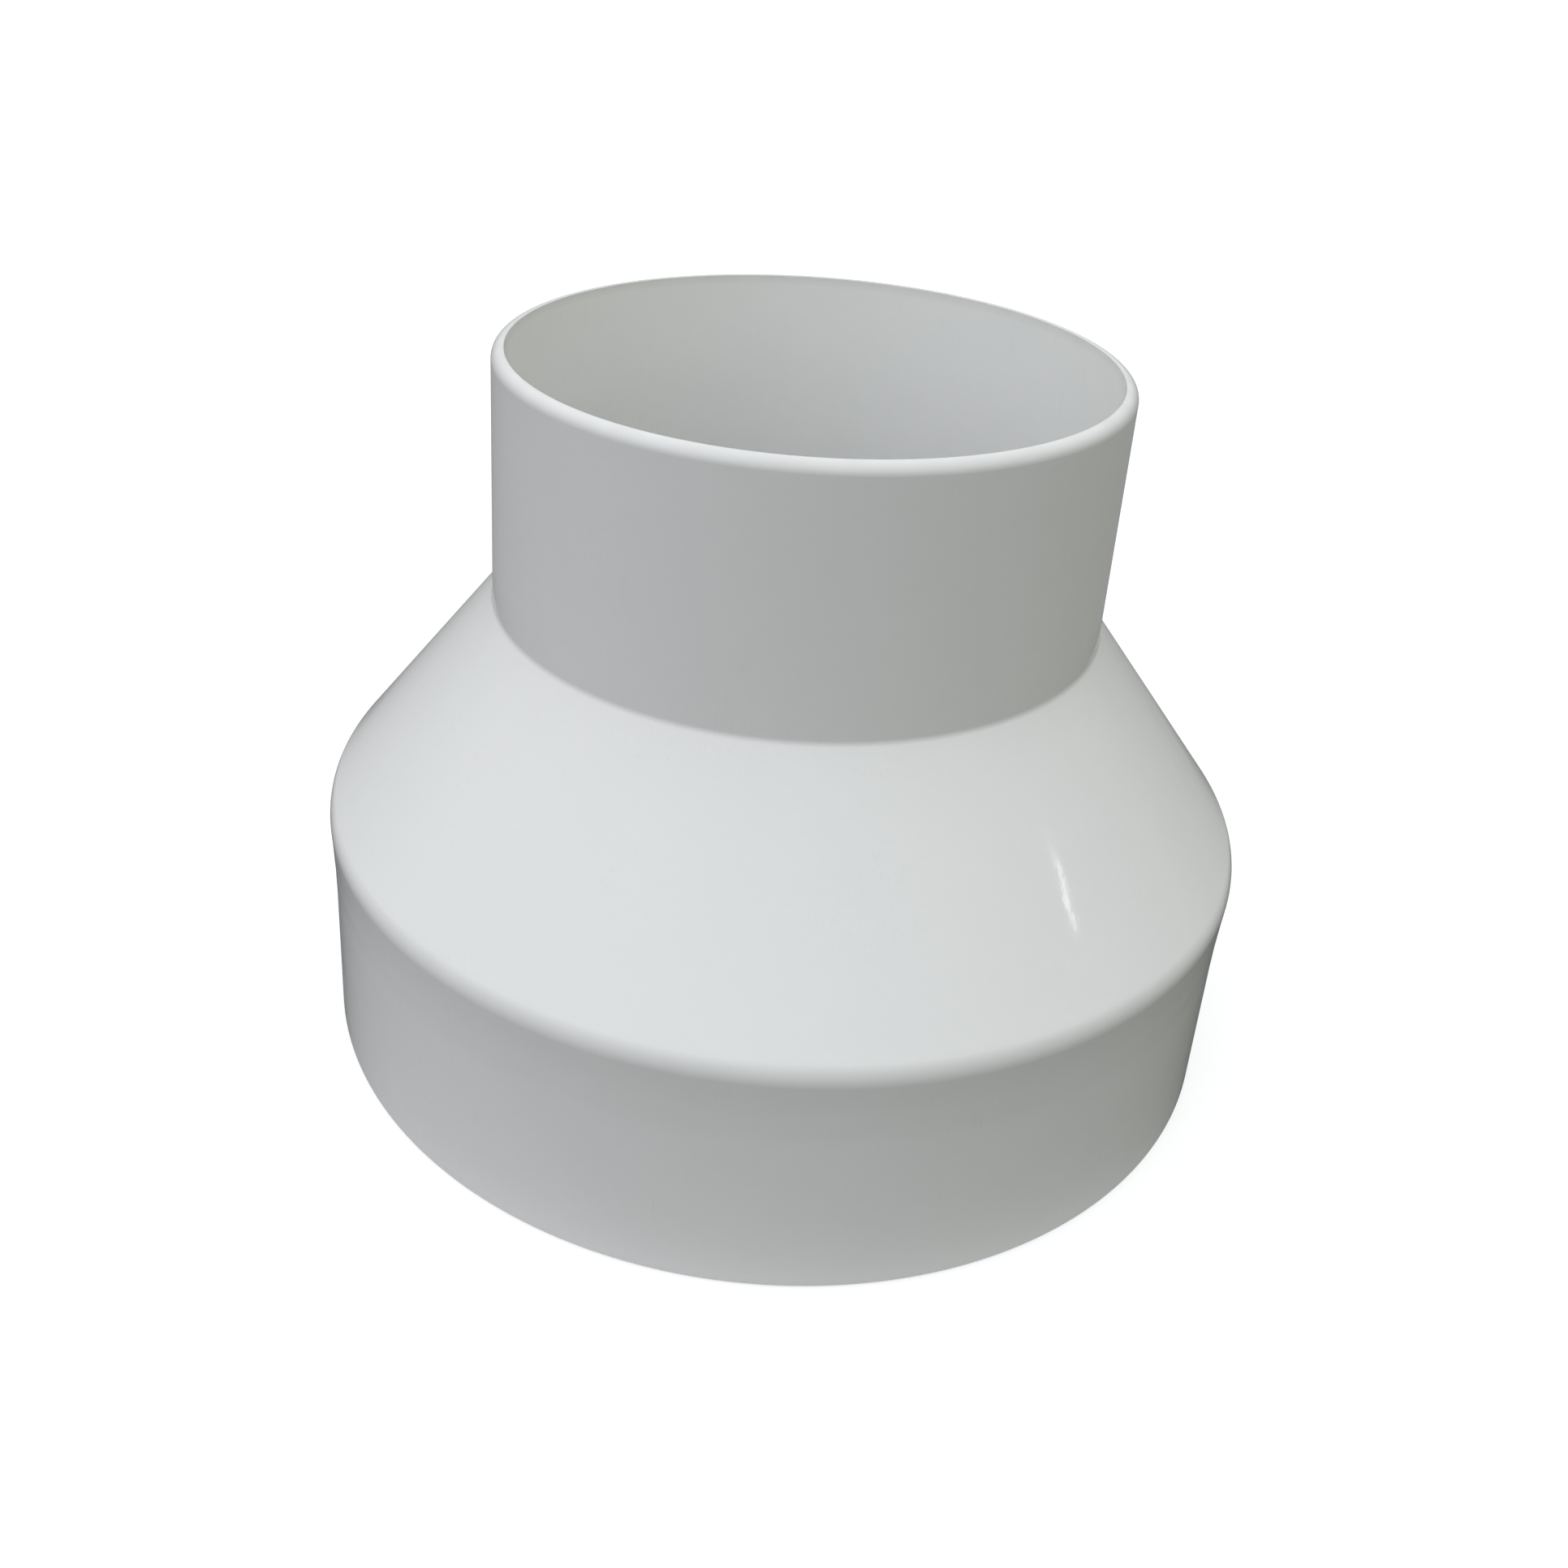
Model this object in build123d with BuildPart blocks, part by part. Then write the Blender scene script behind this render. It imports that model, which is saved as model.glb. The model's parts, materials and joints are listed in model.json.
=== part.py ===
"""Duct reducer: a plain round fitting that joins a 100 mm duct to a 150 mm duct.

One moulded shell, turned about Z: a straight large end to stand on, that swells a little
into a rounded shoulder, then a cone, and a straight small end on top.
The origin is the centre of the foot ring, and +Z runs up the axis to the small end.
"""
import math
import os

from build123d import *

# Driving dimensions, in millimetres
small_end_diameter = 98.0        # outside
large_end_diameter = 150.5       # outside, where the wall is straight
small_end_length = 40.65         # rim down to the corner where the cone starts
large_end_length = 28.2          # foot up to the middle of the bend where the wall turns out into its swell
swell_height = 10.0              # from there up to the shoulder's corner, before it is rounded
swell_depth = 0.6                # how far that corner stands out past the straight wall
cone_height = 34.85              # between the cone's two corners
wall_thickness = 2.0
shoulder_inside_radius = 3.0     # bend at the foot of the cone, on the inside
neck_outside_radius = 1.5        # bend at the top of the cone, on the outside
rim_lead_in = 0.1                # chamfer on the inside of the small end's rim
rim_flat = 0.1                   # flat left between that chamfer and the rim's rounded outside
foot_flat = 1.2                  # flat that the large end stands on, between its two chamfers

# Radii of the straight walls
small_outer = small_end_diameter / 2
large_outer = large_end_diameter / 2
shoulder_outer = large_outer + swell_depth
small_inner = small_outer - wall_thickness
large_inner = large_outer - wall_thickness

# Bends keep the wall's thickness, and the ends share out what their flats leave of it
shoulder_outside_radius = shoulder_inside_radius + wall_thickness
neck_inside_radius = neck_outside_radius + wall_thickness
rim_radius = wall_thickness - rim_flat - rim_lead_in
foot_chamfer = (wall_thickness - foot_flat) / 2

# Heights along the axis
shoulder_corner = large_end_length + swell_height
neck_corner = shoulder_corner + cone_height
total_height = neck_corner + small_end_length

# Lean of the cone and of the swell from upright
cone_lean = math.atan2(shoulder_outer - small_outer, cone_height)
swell_lean = math.atan2(swell_depth, swell_height)

# The bend into the swell is so soft that it takes half of the swell's height
swell_radius = swell_height / 2 / math.tan(swell_lean / 2)

# Inside corners, where the cone's inner face, one wall in from the outer one, meets the bores
inner_neck_corner = neck_corner - wall_thickness * math.tan(cone_lean / 2)
inner_shoulder_corner = inner_neck_corner - (large_inner - small_inner) / math.tan(cone_lean)

with BuildPart() as reducer_body:
    with BuildSketch(Plane.XZ):
        with BuildLine():
            outer_wall = FilletPolyline(
                (large_outer, 0),
                (large_outer, large_end_length),
                (shoulder_outer, shoulder_corner),
                (small_outer, neck_corner),
                (small_outer, total_height),
                radius=[swell_radius, shoulder_outside_radius, neck_outside_radius],
            )
            inner_wall = FilletPolyline(
                (large_inner, 0),
                (large_inner, inner_shoulder_corner),
                (small_inner, inner_neck_corner),
                (small_inner, total_height),
                radius=[shoulder_inside_radius, neck_inside_radius],
            )
            Line(outer_wall @ 0, inner_wall @ 0)
            Line(outer_wall @ 1, inner_wall @ 1)
        make_face()
    revolve(axis=Axis.Z)

    end_edges = reducer_body.edges().filter_by(GeomType.CIRCLE).group_by(Axis.Z)
    foot_edges = end_edges[0]
    rim_edges = end_edges[-1].sort_by(SortBy.RADIUS)
    chamfer(foot_edges, length=foot_chamfer)
    chamfer(rim_edges[0], length=rim_lead_in)
    fillet(rim_edges[-1], radius=rim_radius)

reducer_body.part.label = "reducer_body"

os.makedirs("parts", exist_ok=True)
export_step(reducer_body.part, "parts/reducer_body.step")
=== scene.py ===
"""Duct reducer: the looks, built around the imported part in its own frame, in metres with +Z up."""
import json
import math

import bpy
from mathutils import Matrix, Quaternion, Vector


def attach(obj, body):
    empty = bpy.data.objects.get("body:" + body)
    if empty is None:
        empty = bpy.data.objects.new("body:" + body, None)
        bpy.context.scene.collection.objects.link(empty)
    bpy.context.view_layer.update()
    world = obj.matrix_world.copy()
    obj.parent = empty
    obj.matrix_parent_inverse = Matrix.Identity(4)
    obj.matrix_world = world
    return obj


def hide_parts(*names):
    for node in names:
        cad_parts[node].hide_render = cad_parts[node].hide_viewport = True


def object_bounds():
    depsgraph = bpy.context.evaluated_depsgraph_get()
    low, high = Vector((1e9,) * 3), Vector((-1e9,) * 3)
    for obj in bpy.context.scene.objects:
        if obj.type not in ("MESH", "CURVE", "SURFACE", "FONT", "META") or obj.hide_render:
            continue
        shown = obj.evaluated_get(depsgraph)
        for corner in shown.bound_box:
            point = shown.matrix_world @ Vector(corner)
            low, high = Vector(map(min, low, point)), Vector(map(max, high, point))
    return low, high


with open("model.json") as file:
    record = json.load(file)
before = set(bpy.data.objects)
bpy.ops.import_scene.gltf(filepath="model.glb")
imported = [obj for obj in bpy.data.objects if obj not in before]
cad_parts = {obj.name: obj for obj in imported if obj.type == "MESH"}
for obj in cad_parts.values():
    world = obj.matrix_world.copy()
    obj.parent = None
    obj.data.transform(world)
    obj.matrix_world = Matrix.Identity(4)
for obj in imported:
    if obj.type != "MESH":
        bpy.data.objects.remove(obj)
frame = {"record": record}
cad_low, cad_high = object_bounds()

MM = 0.001

# Sizes that the frame gives: the two round ends, outside and inside, and how far each runs straight
mounts = {mount["name"]: mount for mount in frame["record"]["mounts"]}


def radius_of(name):
    """Radius of a round end's straight wall."""
    return mounts[name]["dims"]["r_mm"] * MM


def straight_run(name):
    """Lowest and highest point of a round end's straight wall."""
    middle = mounts[name]["pos_m"][2]
    half = mounts[name]["dims"]["length_mm"] * MM / 2
    return middle - half, middle + half


small_outer = radius_of("small_end_spigot")
small_inner = radius_of("small_end_bore")
large_outer = radius_of("large_end_spigot")
large_inner = radius_of("large_end_bore")
wall = small_outer - small_inner
total_height = cad_high.z

neck_bend_top, rim_bend_foot = straight_run("small_end_spigot")
foot_chamfer, swell_bend_foot = straight_run("large_end_spigot")
_, lead_in_foot = straight_run("small_end_bore")
_, inner_bend_foot = straight_run("large_end_bore")

# Swell of the large end: half the height of its soft bend, and how far it stands out at the shoulder
swell_bend_reach = 5 * MM
swell_depth = 0.6 * MM
shoulder_outer = large_outer + swell_depth

# Bends and small edge roundings, outside and inside
neck_outside_bend = 1.5 * MM
neck_inside_bend = neck_outside_bend + wall
shoulder_inside_bend = 3 * MM
shoulder_outside_bend = shoulder_inside_bend + wall
rim_outside_bend = total_height - rim_bend_foot
edge_rounding = 0.15 * MM

# Fineness of the mesh: steps around the axis, the longest ring on a straight wall,
# the turn of one step in a bend, and the fewest steps in a bend
around_steps = 256
longest_ring = 2.5 * MM
bend_step = math.radians(6)
fewest_bend_steps = 2

# Where the seam of the flat layout is: at the back, away from the camera
seam_turn = math.radians(90)

# Camera, fitted to the photograph's outlines: it stands in front of the part and looks down at it
camera_place = Vector((0, -241.37 * MM, 184.05 * MM))
camera_turn = math.radians(2.739)
camera_look_down = math.radians(25.176)
camera_roll = math.radians(3.358)
camera_shift = (0.03836, -0.11677)
camera_clip_start = 10 * MM

# Lens and sensor in millimetres, as Blender takes them
camera_lens = 37.262
camera_sensor_width = 36

# Plastic: its clear and dull tints, those of grain, rubbed edges and scuffs, and how strongly each shows.
# The rubbed tint is wear, and on the rim's top it is also painted shade that darkens it
pvc_clear = (0.87, 0.876, 0.85, 1)
pvc_dull = (0.85, 0.857, 0.835, 1)
pvc_grain = (0.84, 0.844, 0.82, 1)
grain_share = 0.35
pvc_rubbed_and_shaded = (0.7, 0.7, 0.68, 1)
rub_and_shade_share = 0.8
pvc_scuffed = (0.76, 0.765, 0.755, 1)
scuff_share = 0.3

# Gloss of the plastic, and what rubbing and scuffs add to its roughness
pvc_ior = 1.5
pvc_roughness_low = 0.065
pvc_roughness_high = 0.105
rub_roughness = 0.12
scuff_roughness = 0.15

# Noise: the limits that are stretched to nought and one, and the detail of plain marks, flow and rubbing
noise_low = 0.25
noise_high = 0.75
plain_detail = 2
flow_detail = 3
rub_detail = 4

# Sizes of the marks, those of flow and scuffs longer along the axis
flow_size = 22 * MM
flow_stretch = (1, 1, 1.8)
grain_size = 1.4 * MM
rub_size = 5 * MM
scuff_size = 0.5 * MM
scuff_stretch = (1, 1, 16)
scuff_patch_size = 18 * MM

# Noise at which a scuff, and the patch that it lies in, begins to show and shows in full
scuff_begins = 0.72
scuff_full = 0.9
patch_begins = 0.55
patch_full = 0.85

# Rubbed edges: the least share of rubbing that the noise leaves, and the height and strength
# of the rubbing at the foot and round the shoulder. At the rim the rubbed tint is painted shade as well as
# wear
rub_least = 0.5
foot_rub_height = 1.6 * MM
foot_rub = 0.4
shoulder_rub_height = 37 * MM
shoulder_rub_reach = 3.5 * MM
shoulder_rub = 0.25

# Waves in the moulded surface: the size and depth of each
surface_waves = [(9 * MM, 0.03 * MM), (0.8 * MM, 0.003 * MM)]

# Room light: its level at the horizon, what it gains toward the top,
# and what a broad soft light high on the left in front adds where it is strongest
room_light = (0.208, 0.22, 0.12)
room_light_upwards = (0.92, 0.94, 1.055)
key_light = (0.77, 0.76, 0.965)
key_direction = Vector((-1, -1, 1.4)).normalized()
key_narrowness = 8

# What the eye sees of the room, how bright gloss sees it at the horizon,
# and the height in the sky, from nought to one, from which gloss sees it white
plain_white = (1, 1, 1, 1)
horizon_in_gloss = 0.3
white_in_gloss_from = 0.6

# Floor: its reach, and how much light it sends back within the part, at its foot,
# beside it on the left and right, and farther off. This is painted light and shade, seen only in the light
# the floor bounces
floor_reach = 20
floor_within = 0.9
floor_at_foot = 0.42
floor_left = 0.6
floor_right = 0.06
floor_beyond = 0.03

# Where the painted strip of light at the foot and the painted floor beside the part end, and where left
# gives way to right
floor_foot_reach = 100 * MM
floor_beside_reach = 150 * MM
floor_left_end = -100 * MM
floor_right_start = -20 * MM

# To the eye: the floor's own glow, and its colour under the light, which keeps a faint shadow
floor_glow = 0.62
floor_shaded = (0.5, 0.5, 0.5, 1)

# How bright gloss sees the floor close by and farther off, and where it changes
floor_near_in_gloss = 0.1
floor_far_in_gloss = 0.3
gloss_near_end = 120 * MM
gloss_far_start = 190 * MM

# Small lamp: where it stands as seen from the part, how its long side leans, and its size and power
glint_turn = math.radians(-8.85)
glint_rise = math.radians(22.84)
glint_lean = math.radians(-47.5)
glint_distance = 1063 * MM
glint_width = 6 * MM
glint_length = 60 * MM
glint_power = 0.025


# Mesh

def cone_half_lean():
    """Tangent of half the cone's lean from upright, from the bends at both ends of its inner face."""
    rise = neck_bend_top - inner_bend_foot
    run = large_inner - small_inner
    spare = run - 2 * (neck_inside_bend + shoulder_inside_bend)
    return (math.sqrt(rise * rise + run * spare) - rise) / spare


def wall_section():
    """Corners of the wall's section with their roundings, up the outside and down the inside."""
    half_lean = cone_half_lean()
    neck_corner = neck_bend_top - neck_outside_bend * half_lean
    lean = 2 * math.atan(half_lean)
    shoulder_corner = neck_corner - (shoulder_outer - small_outer) / math.tan(lean)
    swell_corner = swell_bend_foot + swell_bend_reach
    swell_lean = math.atan2(shoulder_outer - large_outer, shoulder_corner - swell_corner)
    swell_bend = swell_bend_reach / math.tan(swell_lean / 2)
    inner_neck_corner = neck_bend_top - neck_inside_bend * half_lean
    inner_shoulder_corner = inner_bend_foot + shoulder_inside_bend * half_lean
    lead_in = total_height - lead_in_foot
    return [
        ((large_outer - foot_chamfer, 0), edge_rounding),
        ((large_outer, foot_chamfer), edge_rounding),
        ((large_outer, swell_corner), swell_bend),
        ((shoulder_outer, shoulder_corner), shoulder_outside_bend),
        ((small_outer, neck_corner), neck_outside_bend),
        ((small_outer, total_height), rim_outside_bend),
        ((small_inner + lead_in, total_height), edge_rounding),
        ((small_inner, lead_in_foot), edge_rounding),
        ((small_inner, inner_neck_corner), neck_inside_bend),
        ((large_inner, inner_shoulder_corner), shoulder_inside_bend),
        ((large_inner, foot_chamfer), edge_rounding),
        ((large_inner + foot_chamfer, 0), edge_rounding),
    ]


def rounded_outline(corners):
    """Points and outward normals around a closed outline whose corners are turned into arcs."""
    points = []
    normals = []
    count = len(corners)
    for index, (corner, radius) in enumerate(corners):
        here = Vector(corner)
        before = (here - Vector(corners[index - 1][0])).normalized()
        after = (Vector(corners[(index + 1) % count][0]) - here).normalized()
        turn = before.angle_signed(after)
        reach = radius * math.tan(abs(turn) / 2)
        side = 1 if turn < 0 else -1
        first_normal = Vector((before.y, -before.x))
        centre = here - before * reach - first_normal * radius * side
        steps = max(fewest_bend_steps, math.ceil(abs(turn) / bend_step))
        for step in range(steps + 1):
            normal = first_normal.copy()
            normal.rotate(Matrix.Rotation(-turn * step / steps, 2))
            points.append(centre + normal * radius * side)
            normals.append(normal)
    return points, normals


def divide_straights(points, normals):
    """Adds rings along the straight walls, so that no ring is longer than the longest one allowed."""
    fine_points = []
    fine_normals = []
    for index, point in enumerate(points):
        following = points[(index + 1) % len(points)]
        rings = max(1, math.ceil((following - point).length / longest_ring))
        for ring in range(rings):
            fine_points.append(point.lerp(following, ring / rings))
            fine_normals.append(normals[index])
    return fine_points, fine_normals


def turned_mesh(name, points, normals):
    """Turns a closed section about Z, with exact normals and one flat layout of the whole surface."""
    count = len(points)
    vertices = []
    vertex_normals = []
    for step in range(around_steps):
        angle = seam_turn + 2 * math.pi * step / around_steps
        across, along = math.cos(angle), math.sin(angle)
        vertices += [(point.x * across, point.x * along, point.y) for point in points]
        vertex_normals += [(normal.x * across, normal.x * along, normal.y) for normal in normals]

    lengths = [0]
    for index in range(count):
        lengths.append(lengths[-1] + (points[(index + 1) % count] - points[index]).length)

    faces = []
    layout = []
    for step in range(around_steps):
        next_step = (step + 1) % around_steps
        for index in range(count):
            next_index = (index + 1) % count
            faces.append((
                step * count + index,
                next_step * count + index,
                next_step * count + next_index,
                step * count + next_index,
            ))
            left, right = step / around_steps, (step + 1) / around_steps
            low, high = lengths[index] / lengths[-1], lengths[index + 1] / lengths[-1]
            layout += [(left, low), (right, low), (right, high), (left, high)]

    mesh = bpy.data.meshes.new(name)
    mesh.from_pydata(vertices, [], faces)
    flat_map = mesh.uv_layers.new(name="OFBake")
    for loop, place in zip(flat_map.data, layout):
        loop.uv = place
    mesh.shade_smooth()
    mesh.normals_split_custom_set_from_vertices(vertex_normals)
    mesh.validate()
    return mesh


# Materials

def add_node(tree, kind, inputs=None, **settings):
    """Adds a shader node, sets its fields, and fills its inputs with values or other nodes' outputs."""
    node = tree.nodes.new(kind)
    for name, value in settings.items():
        setattr(node, name, value)
    for name, value in (inputs or {}).items():
        if isinstance(value, bpy.types.NodeSocket):
            tree.links.new(value, node.inputs[name])
        else:
            node.inputs[name].default_value = value
    return node


def new_material(name):
    material = bpy.data.materials.new(name)
    material.use_nodes = True
    material.node_tree.nodes.clear()
    return material, material.node_tree


def between(tree, value, start, stop, low=0, high=1):
    """Moves a value from one range to another and keeps it within the second."""
    return add_node(tree, "ShaderNodeMapRange", {
        "Value": value,
        "From Min": start,
        "From Max": stop,
        "To Min": low,
        "To Max": high,
    }).outputs[0]


def calculate(tree, operation, first, second=0):
    return add_node(tree, "ShaderNodeMath", {0: first, 1: second}, operation=operation).outputs[0]


def noise(tree, place, size, stretch=(1, 1, 1), detail=plain_detail):
    """Smooth noise from nought to one, with marks of about this size, stretched along the axes."""
    scaled = add_node(tree, "ShaderNodeVectorMath", {
        0: place,
        1: tuple(1 / (size * longer) for longer in stretch),
    }, operation="MULTIPLY").outputs[0]
    raw = add_node(tree, "ShaderNodeTexNoise", {"Vector": scaled, "Scale": 1, "Detail": detail}).outputs[0]
    return between(tree, raw, noise_low, noise_high)


def blend_colour(tree, factor, first, second):
    mixed = add_node(tree, "ShaderNodeMixRGB", {"Fac": factor, "Color1": first, "Color2": second})
    return mixed.outputs[0]


def blend_shader(tree, factor, first, second):
    return add_node(tree, "ShaderNodeMixShader", {0: factor, 1: first, 2: second}).outputs[0]


def ray_is(tree, *kinds):
    """One for rays of any of these kinds, and nought for the others."""
    rays = add_node(tree, "ShaderNodeLightPath")
    seen = rays.outputs[kinds[0]]
    for kind in kinds[1:]:
        seen = calculate(tree, "MAXIMUM", seen, rays.outputs[kind])
    return seen


def rubbed_and_shaded_edges(tree, place):
    """How much hands and hoses rub, with painted shade on the rim's top: most at the rim, less at the
    shoulder and foot, nought elsewhere.
    """
    height = add_node(tree, "ShaderNodeSeparateXYZ", {0: place}).outputs["Z"]
    # The rim's share is painted shade as well as wear
    rim = between(tree, height, rim_bend_foot, total_height)
    foot = between(tree, height, foot_rub_height, 0, 0, foot_rub)
    from_shoulder = calculate(tree, "ABSOLUTE", calculate(tree, "SUBTRACT", height, shoulder_rub_height))
    shoulder = between(tree, from_shoulder, shoulder_rub_reach, 0, 0, shoulder_rub)
    return calculate(tree, "MAXIMUM", calculate(tree, "MAXIMUM", rim, foot), shoulder)


def white_pvc():
    """Glossy off-white plastic with faint flow marks, fine grain, rubbed edges and thin scuffs, and painted
    shade on the rim's top.
    """
    material, tree = new_material("white_pvc")
    place = add_node(tree, "ShaderNodeTexCoord").outputs["Object"]

    flow = noise(tree, place, flow_size, flow_stretch, flow_detail)
    grain = noise(tree, place, grain_size)
    rub_marks = between(tree, noise(tree, place, rub_size, detail=rub_detail), 0, 1, rub_least, 1)
    rubbing_and_rim_shade = calculate(tree, "MULTIPLY", rubbed_and_shaded_edges(tree, place), rub_marks)
    scratch = between(tree, noise(tree, place, scuff_size, scuff_stretch), scuff_begins, scuff_full)
    patch = between(tree, noise(tree, place, scuff_patch_size), patch_begins, patch_full)
    scuffs = calculate(tree, "MULTIPLY", scratch, patch)

    colour = blend_colour(tree, flow, pvc_dull, pvc_clear)
    colour = blend_colour(tree, calculate(tree, "MULTIPLY", grain, grain_share), colour, pvc_grain)
    # Rubbed tint: wear at the foot and shoulder, and on the rim's top painted shade as well
    colour = blend_colour(tree, calculate(tree, "MULTIPLY", rubbing_and_rim_shade, rub_and_shade_share), colour, pvc_rubbed_and_shaded)
    colour = blend_colour(tree, calculate(tree, "MULTIPLY", scuffs, scuff_share), colour, pvc_scuffed)

    roughness = between(tree, flow, 0, 1, pvc_roughness_low, pvc_roughness_high)
    roughness = calculate(tree, "ADD", roughness, calculate(tree, "MULTIPLY", rubbing_and_rim_shade, rub_roughness))
    roughness = calculate(tree, "ADD", roughness, calculate(tree, "MULTIPLY", scuffs, scuff_roughness))

    normal = None
    for size, depth in surface_waves:
        wave = add_node(tree, "ShaderNodeBump", {
            "Strength": 1,
            "Distance": depth,
            "Height": noise(tree, place, size),
        })
        if normal:
            tree.links.new(normal, wave.inputs["Normal"])
        normal = wave.outputs["Normal"]

    shader = add_node(tree, "ShaderNodeBsdfPrincipled", {
        "Base Color": colour,
        "Roughness": roughness,
        "IOR": pvc_ior,
        "Normal": normal,
    })
    add_node(tree, "ShaderNodeOutputMaterial", {"Surface": shader.outputs["BSDF"]})
    return material


def floor_material():
    """White to the eye and in glass, faint in gloss. In the light it bounces it carries painted light and
    shade: pale within the part, at its foot and on the left, dark on the right and farther off, so it sends
    light back mostly from close by.
    """
    material, tree = new_material("floor_white")
    place = add_node(tree, "ShaderNodeNewGeometry").outputs["Position"]
    distance = add_node(tree, "ShaderNodeVectorMath", {0: place}, operation="LENGTH").outputs["Value"]
    rightward = add_node(tree, "ShaderNodeSeparateXYZ", {0: place}).outputs["X"]

    # Painted light and shade for bounced light only: pale on the left, dark on the right, a pale strip at
    # the foot, pale within the part
    beside = between(tree, rightward, floor_left_end, floor_right_start, floor_left, floor_right)
    outside = between(tree, distance, large_outer, floor_beside_reach, beside, floor_beyond)
    strip = between(tree, distance, large_outer, floor_foot_reach, floor_at_foot, 0)
    outside = calculate(tree, "MAXIMUM", outside, strip)
    within = calculate(tree, "LESS_THAN", distance, large_inner)
    painted_floor_light = between(tree, within, 0, 1, outside, floor_within)
    plain = add_node(tree, "ShaderNodeBsdfDiffuse", {"Color": painted_floor_light}).outputs[0]

    in_gloss = between(
        tree, distance, gloss_near_end, gloss_far_start, floor_near_in_gloss, floor_far_in_gloss)
    faint = add_node(tree, "ShaderNodeEmission", {"Strength": in_gloss}).outputs[0]

    shaded = add_node(tree, "ShaderNodeBsdfDiffuse", {"Color": floor_shaded}).outputs[0]
    glow = add_node(tree, "ShaderNodeEmission", {"Strength": floor_glow}).outputs[0]
    white = add_node(tree, "ShaderNodeAddShader", {0: shaded, 1: glow}).outputs[0]

    surface = blend_shader(tree, ray_is(tree, "Is Glossy Ray"), plain, faint)
    surface = blend_shader(tree, ray_is(tree, "Is Camera Ray", "Is Transmission Ray"), surface, white)
    add_node(tree, "ShaderNodeOutputMaterial", {"Surface": surface})
    return material


# Scene

def add_object(name, data):
    made = bpy.data.objects.new(name, data)
    bpy.context.scene.collection.objects.link(made)
    return made


def add_shell():
    points, normals = rounded_outline(wall_section())
    points, normals = divide_straights(points, normals)
    shell = add_object("reducer_shell", turned_mesh("reducer_shell", points, normals))
    shell.data.materials.append(white_pvc())
    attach(shell, "root")
    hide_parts("reducer_body")


def add_floor():
    mesh = bpy.data.meshes.new("floor")
    sides = [(-1, -1), (1, -1), (1, 1), (-1, 1)]
    corners = [(across * floor_reach, along * floor_reach, 0) for across, along in sides]
    mesh.from_pydata(corners, [], [(0, 1, 2, 3)])
    mesh.materials.append(floor_material())
    add_object("floor", mesh)


def add_world():
    """A soft room, brightest overhead, with one broad light high on the left in front.

    It is white to the eye and in glass, and dims toward the horizon in gloss.
    """
    world = bpy.data.worlds.new("room")
    world.use_nodes = True
    tree = world.node_tree
    tree.nodes.clear()
    direction = add_node(tree, "ShaderNodeTexCoord").outputs["Generated"]
    toward_key = add_node(tree, "ShaderNodeVectorMath", {
        0: direction,
        1: key_direction,
    }, operation="DOT_PRODUCT").outputs["Value"]
    key_share = calculate(tree, "POWER", between(tree, toward_key, -1, 1), key_narrowness)
    height = add_node(tree, "ShaderNodeSeparateXYZ", {0: direction}).outputs["Z"]
    upward = between(tree, height, 0, 1)

    light = room_light
    for amount, colour in ((upward, room_light_upwards), (key_share, key_light)):
        light = add_node(tree, "ShaderNodeVectorMath", {
            0: amount,
            1: colour,
            2: light,
        }, operation="MULTIPLY_ADD").outputs[0]
    soft = add_node(tree, "ShaderNodeBackground", {"Color": light, "Strength": 1}).outputs[0]

    in_gloss = between(tree, upward, 0, white_in_gloss_from, horizon_in_gloss, 1)
    to_the_eye = ray_is(tree, "Is Camera Ray", "Is Transmission Ray")
    whiteness = calculate(tree, "MAXIMUM", in_gloss, to_the_eye)
    white = add_node(tree, "ShaderNodeBackground", {"Color": plain_white, "Strength": whiteness}).outputs[0]

    seen = ray_is(tree, "Is Camera Ray", "Is Glossy Ray", "Is Transmission Ray")
    add_node(tree, "ShaderNodeOutputWorld", {"Surface": blend_shader(tree, seen, soft, white)})
    bpy.context.scene.world = world


def add_glint_lamp():
    """A small leaning lamp low on the right, for the thin streak on the cone."""
    lamp = bpy.data.lights.new("glint", "AREA")
    lamp.shape = "RECTANGLE"
    lamp.size = glint_width
    lamp.size_y = glint_length
    lamp.energy = glint_power
    level = Vector((math.cos(glint_turn), math.sin(glint_turn), 0)) * math.cos(glint_rise)
    toward = level + Vector((0, 0, math.sin(glint_rise)))
    made = add_object("glint", lamp)
    made.location = toward * glint_distance
    facing = (-toward).to_track_quat("-Z", "Y")
    made.rotation_euler = (facing @ Quaternion((0, 0, 1), glint_lean)).to_euler()


def add_camera():
    lens = bpy.data.cameras.new("photo_camera")
    lens.lens = camera_lens
    lens.sensor_width = camera_sensor_width
    lens.shift_x, lens.shift_y = camera_shift
    lens.clip_start = camera_clip_start
    camera = add_object("photo_camera", lens)
    camera.matrix_world = (
        Matrix.Translation(camera_place)
        @ Matrix.Rotation(camera_turn, 4, "Z")
        @ Matrix.Rotation(math.pi / 2 - camera_look_down, 4, "X")
        @ Matrix.Rotation(camera_roll, 4, "Z")
    )
    bpy.context.scene.camera = camera


add_shell()
add_floor()
add_world()
add_glint_lamp()
add_camera()
bpy.context.scene.view_settings.view_transform = "Standard"
